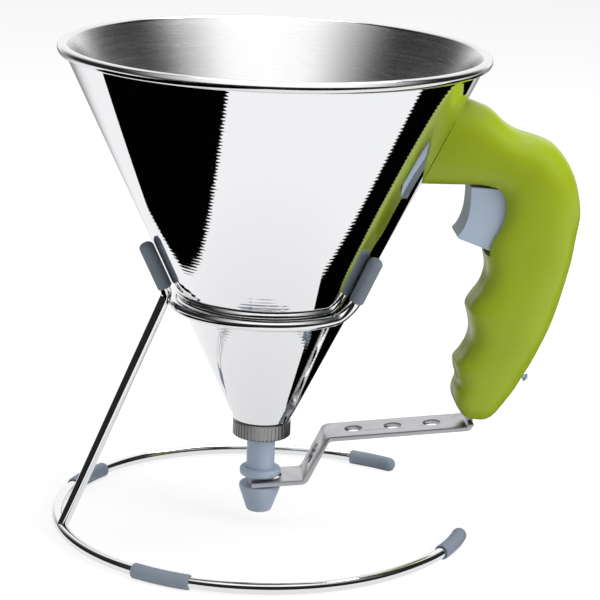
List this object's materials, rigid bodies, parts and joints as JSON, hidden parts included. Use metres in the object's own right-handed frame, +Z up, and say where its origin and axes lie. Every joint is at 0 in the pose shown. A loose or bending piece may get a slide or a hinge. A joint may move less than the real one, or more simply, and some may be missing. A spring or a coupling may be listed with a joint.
{
  "type": "pancake batter dispenser",
  "caption": "Conical steel batter funnel with a moulded trigger handle and a lifting nozzle valve, resting in a wire stand with rubber feet.",
  "frame": {"origin": "on the table, below the middle of the part's bounding box; the funnel's axis stands 18.8 mm towards -X of it", "axes": "+Z up, +X from the funnel's axis towards the handle, +Y towards the handle's screw side"},
  "size_m": [0.1974, 0.1601, 0.1855],
  "materials": {
    "funnel_steel": "mirror polished outside, finely turned",
    "stand_wire": "bright plated wire",
    "arm_steel": "satin stainless strip",
    "nut_nickel": "knurled grey nickel",
    "handle_green": "satin moulded, lime green",
    "trigger_grey": "satin moulded, blue grey",
    "foot_rubber": "matt grey rubber",
    "inner_plastic": "plain moulded",
    "seal_rubber": "matt black rubber"
  },
  "bodies": {
    "stand": {"base_ring": "stand_wire", "stand_post": "stand_wire", "holder_ring": "stand_wire", "base_cap_front": "foot_rubber", "base_cap_rear": "foot_rubber", "base_sleeve_front": "foot_rubber", "base_sleeve_rear": "foot_rubber", "prong_cap_post": "foot_rubber", "prong_cap_front": "foot_rubber", "prong_cap_rear": "foot_rubber"},
    "funnel": {"funnel_cone": "funnel_steel", "outlet_collar": "arm_steel", "outlet_seal": "seal_rubber", "valve_bush": "inner_plastic", "handle_bracket": "arm_steel", "handle_near": "handle_green", "handle_far": "handle_green", "handle_screw_bracket": "nut_nickel", "handle_screw_shoulder": "nut_nickel", "handle_screw_grip": "nut_nickel", "handle_screw_foot": "nut_nickel", "trigger_pin": "arm_steel", "rocker_pin": "arm_steel", "return_spring": "nut_nickel"},
    "union_nut": {"knurled_nut": "nut_nickel"},
    "trigger_body": {"trigger": "trigger_grey", "drive_pin": "arm_steel"},
    "rocker_body": {"rocker": "inner_plastic", "lift_arm": "arm_steel"},
    "valve_body": {"nozzle_valve": "trigger_grey", "valve_ring": "seal_rubber"},
    "button_body": {"release_button": "trigger_grey"}
  },
  "joints": [
    {"name": "funnel_lift", "type": "slide", "parent": "stand", "child": "funnel", "axis": [0, 0, 1], "range_m": [0, 0.15]},
    {"name": "nut_turn", "type": "hinge", "parent": "funnel", "child": "union_nut", "pos_m": [-0.01878, 0, 0.0386], "axis": [0, 0, -1], "range_deg": [0, 360]},
    {"name": "trigger_squeeze", "type": "hinge", "parent": "funnel", "child": "trigger_body", "pos_m": [0.07397, 0, 0.13651], "axis": [0, -1, 0], "range_deg": [0, 14.6], "stiffness_Nm_per_rad": 0.3, "springref_deg": -5.73, "deforming": ["return_spring"]},
    {"name": "rocker_swing", "type": "hinge", "parent": "funnel", "child": "rocker_body", "pos_m": [0.06775, 0, 0.05644], "axis": [0, 1, 0], "range_deg": [0, 4.7]},
    {"name": "valve_lift", "type": "slide", "parent": "funnel", "child": "valve_body", "axis": [0, 0, 1], "range_m": [0, 0.00716]},
    {"name": "button_press", "type": "slide", "parent": "funnel", "child": "button_body", "axis": [-0.8781, 0, 0.4785], "range_m": [0, 0.001], "stiffness_N_per_m": 200, "springref_m": -0.0015}
  ],
  "couplings": [
    {"joint": "rocker_swing", "follows": "valve_lift", "rad_per_m": 11.45},
    {"joint": "trigger_squeeze", "follows": "valve_lift", "rad_per_m": 35.58}
  ]
}
